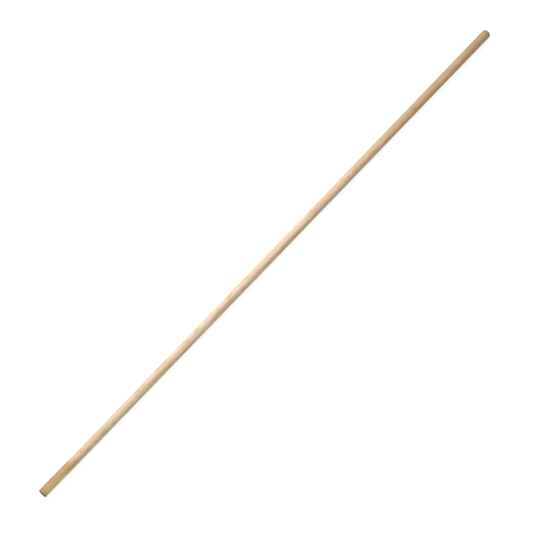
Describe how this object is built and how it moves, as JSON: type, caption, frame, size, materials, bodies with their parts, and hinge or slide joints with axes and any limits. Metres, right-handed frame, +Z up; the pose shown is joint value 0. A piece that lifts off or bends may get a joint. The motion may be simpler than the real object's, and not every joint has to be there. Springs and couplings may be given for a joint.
{
  "type": "roller extension pole",
  "caption": "Plain round wooden pole for a paint roller, with a rounded roller end and a sawn butt end with an eased edge.",
  "frame": {"origin": "on the floor, under the middle of the pole's length", "axes": "+X along the pole towards the roller end, +Z up from the floor that the pole lies on"},
  "size_m": [1.5, 0.022, 0.022],
  "materials": {
    "wood": "bare sanded pale hardwood, unvarnished"
  },
  "bodies": {
    "root": {"pole": "wood"}
  },
  "joints": []
}
